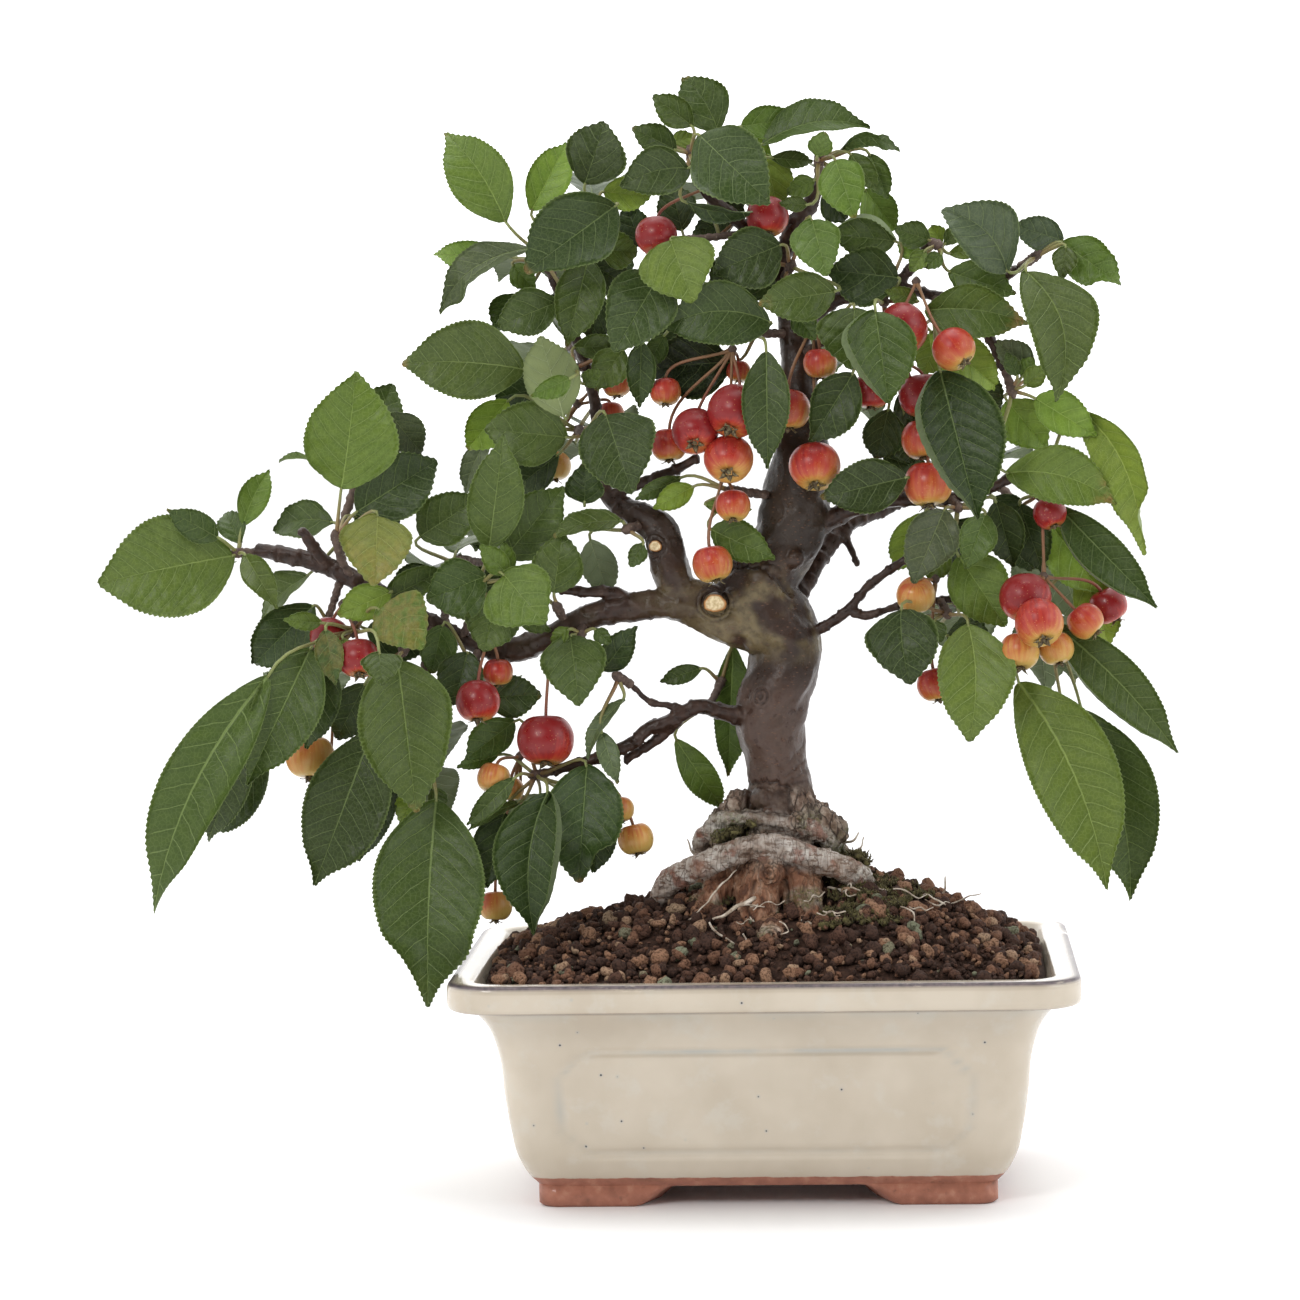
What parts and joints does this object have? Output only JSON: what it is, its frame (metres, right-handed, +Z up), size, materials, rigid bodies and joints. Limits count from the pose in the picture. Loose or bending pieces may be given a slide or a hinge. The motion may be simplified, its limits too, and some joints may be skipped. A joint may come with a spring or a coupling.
{
  "type": "crabapple bonsai",
  "caption": "Old crabapple bonsai in fruit, with a knotted trunk, exposed roots and drooping leafy sprays, in a footed rectangular glazed pot.",
  "frame": {"origin": "middle of the whole object's footprint, on the surface that the pot's feet stand on", "axes": "+Z up; the pot's long front and the best side of the tree face -Y; +X to the right as seen from the front"},
  "size_m": [0.349, 0.1546, 0.3607],
  "materials": {
    "glaze": "cream glaze with fine dark specks, rim worn to dark clay",
    "soil": "dark moist granules, matte",
    "drain_mesh": "matte black plastic net",
    "bark": "grey-brown bark, scaly and knotted, paler on the roots",
    "leaf": "satin green leaf, paler beneath",
    "fruit": "glossy red to yellow skin with pale dots"
  },
  "bodies": {
    "root": {"pot": "glaze", "soil": "soil", "drain_mesh_left": "drain_mesh", "drain_mesh_right": "drain_mesh", "tree": "bark", "leaves_left_tip": "leaf", "leaves_left_droop": "leaf", "leaves_left_droop_rear": "leaf", "leaves_left_low": "leaf", "leaves_left_low_drop": "leaf", "leaves_left_upper": "leaf", "leaves_left_upper_rear": "leaf", "leaves_mid_left": "leaf", "leaves_mid_left_low": "leaf", "leaves_mid_left_rear": "leaf", "leaves_limb_over": "leaf", "leaves_limb_under": "leaf", "leaves_limb_bud": "leaf", "leaves_trunk_spur": "leaf", "leaves_fork_left": "leaf", "leaves_upper_left": "leaf", "leaves_rear_upper_left": "leaf", "leaves_crown_left": "leaf", "leaves_centre_left": "leaf", "leaves_apex_left": "leaf", "leaves_apex_right": "leaf", "leaves_centre_top": "leaf", "leaves_centre_mid_left": "leaf", "leaves_centre_mid": "leaf", "leaves_rear_centre": "leaf", "leaves_right_inner": "leaf", "leaves_limb_front": "leaf", "leaves_right_top": "leaf", "leaves_right_mid": "leaf", "leaves_right_spur": "leaf", "leaves_right_far": "leaf", "leaves_limb_drop": "leaf", "leaves_right_branch": "leaf", "leaves_rear_right": "leaf", "leaves_rear_low_right": "leaf", "leaves_right_low": "leaf", "leaves_right_low_tip": "leaf", "leaves_low_left": "leaf", "leaves_low_left_twig": "leaf", "leaves_low_left_rear": "leaf", "fruit_centre_left": "fruit", "fruit_centre": "fruit", "fruit_crown": "fruit", "fruit_right_centre": "fruit", "fruit_right_hang": "fruit", "fruit_right_low": "fruit", "fruit_right_yellow": "fruit", "fruit_left_big": "fruit", "fruit_mid_left": "fruit", "fruit_trunk_left": "fruit", "fruit_low_left": "fruit", "fruit_low_left_hang": "fruit", "fruit_fork": "fruit", "fruit_left_droop": "fruit", "fruit_left_low": "fruit"}
  },
  "joints": []
}
